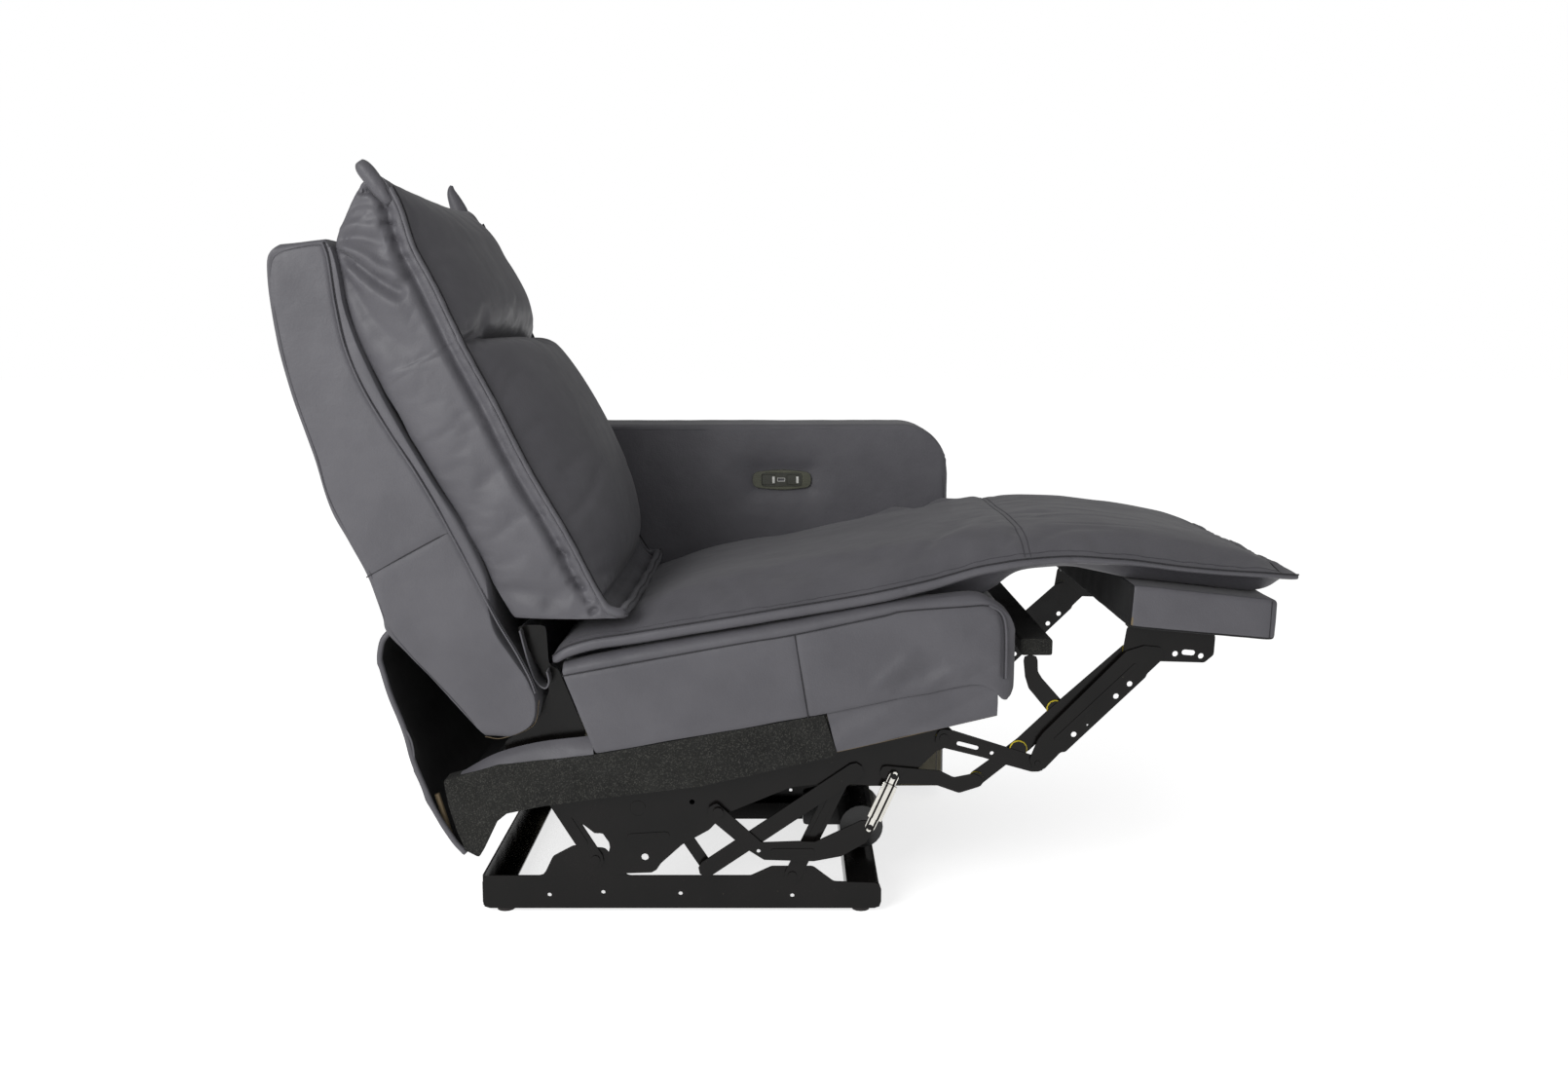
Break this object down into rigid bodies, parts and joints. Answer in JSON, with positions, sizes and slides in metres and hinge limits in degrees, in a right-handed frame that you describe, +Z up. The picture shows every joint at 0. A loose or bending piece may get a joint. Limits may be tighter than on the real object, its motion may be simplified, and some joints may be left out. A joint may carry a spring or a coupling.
{
  "type": "power recliner",
  "caption": "Leather power recliner with one arm, padded footrest on a folding steel linkage, reclining back and arm-mounted push-button controls.",
  "frame": {"origin": "centre of the bounding box's footprint, on the floor", "axes": "+X towards the front (footrest), +Y to the sitter's left (the arm), +Z up"},
  "size_m": [1.418, 0.78, 1.0569],
  "materials": {
    "leather": "soft satin grain",
    "felt": "matt speckled",
    "black_steel": "satin",
    "zinc": "bright",
    "black_plastic": "gloss",
    "dark_metal": "satin",
    "rubber": "matt",
    "wood": "raw"
  },
  "bodies": {
    "base": {"base_rail_right": "black_steel", "base_rail_left": "black_steel", "rear_cross_angle": "black_steel", "front_cross_tube": "black_steel", "floor_glide_rear_right": "rubber", "floor_glide_rear_left": "rubber", "floor_glide_front_right": "rubber", "floor_glide_front_left": "rubber", "arm_bracket_rear": "black_steel", "arm_bracket_front": "black_steel", "arm_panel": "leather", "control_bezel": "dark_metal", "control_fascia": "black_plastic", "charging_port": "zinc", "actuator_rail": "zinc", "actuator_motor": "black_plastic"},
    "button_rear": {"button_rear": "black_plastic"},
    "button_front": {"button_front": "black_plastic"},
    "rear_lift_links": {"rear_lift_link_right": "black_steel", "rear_lift_link_left": "black_steel"},
    "front_lift_links": {"front_lift_link_right": "black_steel", "front_lift_link_left": "black_steel"},
    "actuator_slider": {"actuator_slider": "black_plastic"},
    "seat_frame": {"side_plate_right": "black_steel", "side_plate_left": "black_steel", "felt_rail_right": "felt", "felt_rail_left": "felt", "rear_seat_rail": "wood", "seat_box": "leather", "seat_springs": "zinc", "seat_apron": "leather", "back_bracket_right": "black_steel", "back_bracket_left": "black_steel", "boomerang_brace_right": "black_steel", "boomerang_brace_left": "black_steel", "diagonal_brace_right": "black_steel", "diagonal_brace_left": "black_steel", "bright_strut_right": "zinc", "bright_strut_left": "zinc", "seat_pad": "leather"},
    "drive_tube": {"drive_tube": "black_steel"},
    "upper_links": {"upper_link_right": "black_steel", "upper_link_left": "black_steel"},
    "lower_links": {"lower_link_right": "black_steel", "lower_link_left": "black_steel"},
    "cross_links": {"cross_link_right": "black_steel", "cross_link_left": "black_steel"},
    "front_bars": {"front_bar_right": "black_steel", "front_bar_left": "black_steel"},
    "mid_rest": {"mid_bracket_right": "black_steel", "mid_bracket_left": "black_steel", "mid_beam": "felt"},
    "footrest": {"footrest_board": "leather", "footrest_bracket_right": "black_steel", "footrest_bracket_left": "black_steel", "footrest_pad": "leather"},
    "back": {"back_shell": "leather", "back_cushion": "leather", "back_hinge_tube": "black_steel", "rear_skirt": "leather"}
  },
  "joints": [
    {"name": "seat_tilt", "type": "hinge", "parent": "base", "child": "seat_frame", "pos_m": [-0.148, -0.09, -0.1993], "axis": [0, 1, 0], "range_deg": [0, 3.35]},
    {"name": "footrest_fold", "type": "hinge", "parent": "seat_frame", "child": "footrest", "pos_m": [0.378, -0.09, 0.4479], "axis": [0, 1, 0], "range_deg": [0, 70.4]},
    {"name": "rear_lift", "type": "hinge", "parent": "base", "child": "rear_lift_links", "pos_m": [-0.283, -0.09, 0.08], "axis": [0, 1, 0], "range_deg": [0, 12.05]},
    {"name": "front_lift", "type": "hinge", "parent": "base", "child": "front_lift_links", "pos_m": [0.001, -0.09, 0.056], "axis": [0, 1, 0], "range_deg": [0, 8.95]},
    {"name": "slider_travel", "type": "slide", "parent": "base", "child": "actuator_slider", "axis": [1, 0, 0], "range_m": [0, 0.091]},
    {"name": "drive_turn", "type": "hinge", "parent": "seat_frame", "child": "drive_tube", "pos_m": [-0.2201, -0.09, 0.1589], "axis": [0, -1, 0], "range_deg": [0, 63.35]},
    {"name": "upper_link_turn", "type": "hinge", "parent": "seat_frame", "child": "upper_links", "pos_m": [0.2161, -0.09, 0.2629], "axis": [0, 1, 0], "range_deg": [0, 68.05]},
    {"name": "lower_link_turn", "type": "hinge", "parent": "seat_frame", "child": "lower_links", "pos_m": [0.1451, -0.09, 0.2091], "axis": [0, 1, 0], "range_deg": [0, 62.85]},
    {"name": "cross_link_turn", "type": "hinge", "parent": "upper_links", "child": "cross_links", "pos_m": [0.3224, -0.09, 0.2464], "axis": [0, -1, 0], "range_deg": [0, 81.15]},
    {"name": "front_bar_turn", "type": "hinge", "parent": "upper_links", "child": "front_bars", "pos_m": [0.349, -0.09, 0.2276], "axis": [0, -1, 0], "range_deg": [0, 76.55]},
    {"name": "mid_rest_turn", "type": "hinge", "parent": "cross_links", "child": "mid_rest", "pos_m": [0.3748, -0.09, 0.3038], "axis": [0, 1, 0], "range_deg": [0, 74.15]},
    {"name": "back_recline", "type": "hinge", "parent": "seat_frame", "child": "back", "pos_m": [-0.3922, -0.09, 0.2486], "axis": [0, -1, 0], "range_deg": [0, 28], "deforming": ["rear_skirt"]},
    {"name": "button_rear_press", "type": "slide", "parent": "base", "child": "button_rear", "axis": [0, 1, 0], "range_m": [0, 0.0016], "stiffness_N_per_m": 400},
    {"name": "button_front_press", "type": "slide", "parent": "base", "child": "button_front", "axis": [0, 1, 0], "range_m": [0, 0.0016], "stiffness_N_per_m": 400}
  ],
  "couplings": [
    {"joint": "seat_tilt", "follows": "footrest_fold", "ratio": 0.046875},
    {"joint": "rear_lift", "follows": "footrest_fold", "ratio": 0.17045},
    {"joint": "front_lift", "follows": "footrest_fold", "ratio": 0.12642},
    {"joint": "slider_travel", "follows": "footrest_fold", "m_per_rad": 0.073899},
    {"joint": "drive_turn", "follows": "footrest_fold", "ratio": 0.89915},
    {"joint": "upper_link_turn", "follows": "footrest_fold", "ratio": 0.96591},
    {"joint": "lower_link_turn", "follows": "footrest_fold", "ratio": 0.89204},
    {"joint": "cross_link_turn", "follows": "footrest_fold", "ratio": 1.152},
    {"joint": "front_bar_turn", "follows": "footrest_fold", "ratio": 1.0866},
    {"joint": "mid_rest_turn", "follows": "footrest_fold", "ratio": 1.0526}
  ]
}
